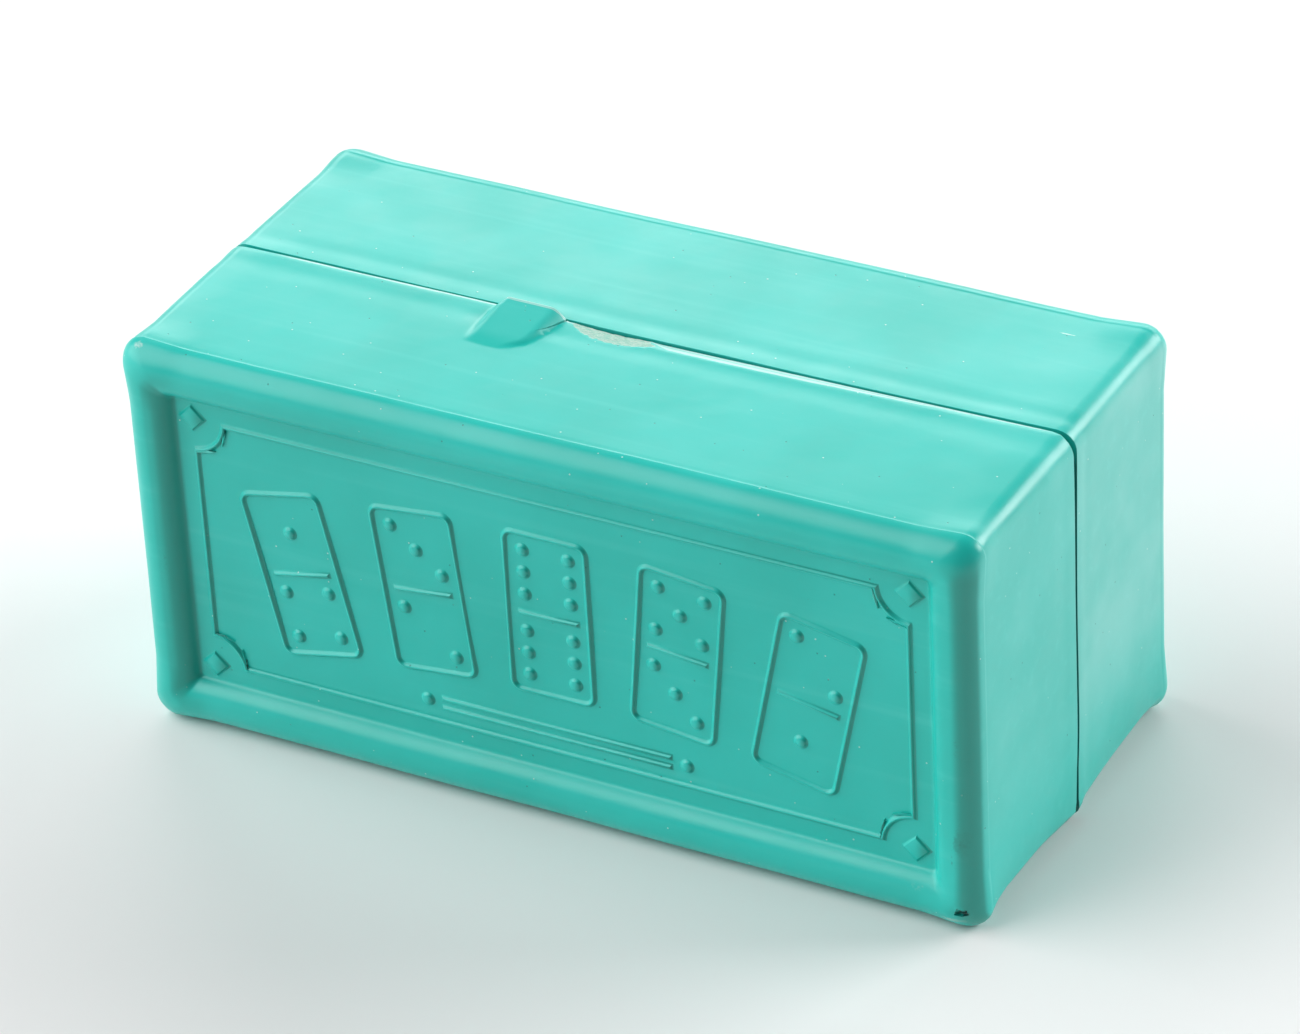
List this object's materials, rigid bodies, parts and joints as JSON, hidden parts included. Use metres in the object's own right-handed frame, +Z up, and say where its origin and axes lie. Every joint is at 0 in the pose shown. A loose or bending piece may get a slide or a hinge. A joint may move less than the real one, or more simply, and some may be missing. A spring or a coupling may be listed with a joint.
{
  "type": "domino storage box",
  "caption": "Hinged two-part plastic storage box for a set of dominoes, with beaded frames, recessed panels, a film hinge and a thumb lip.",
  "frame": {"origin": "under the middle of the shut box, on the surface that it stands on", "axes": "+X along the box's length, +Y from the front face to the back face, +Z up"},
  "size_m": [0.11, 0.054, 0.0534],
  "materials": {
    "shell_plastic": "satin",
    "film_plastic": "satin"
  },
  "bodies": {
    "rear_half": {"rear_shell": "shell_plastic", "hinge_film": "film_plastic", "catch_tongue": "shell_plastic"},
    "front_half": {"front_shell": "shell_plastic"}
  },
  "joints": [
    {"name": "box_hinge", "type": "hinge", "parent": "rear_half", "child": "front_half", "pos_m": [0, -0.001, 0.00045], "axis": [1, 0, 0], "range_deg": [0, 176]}
  ]
}
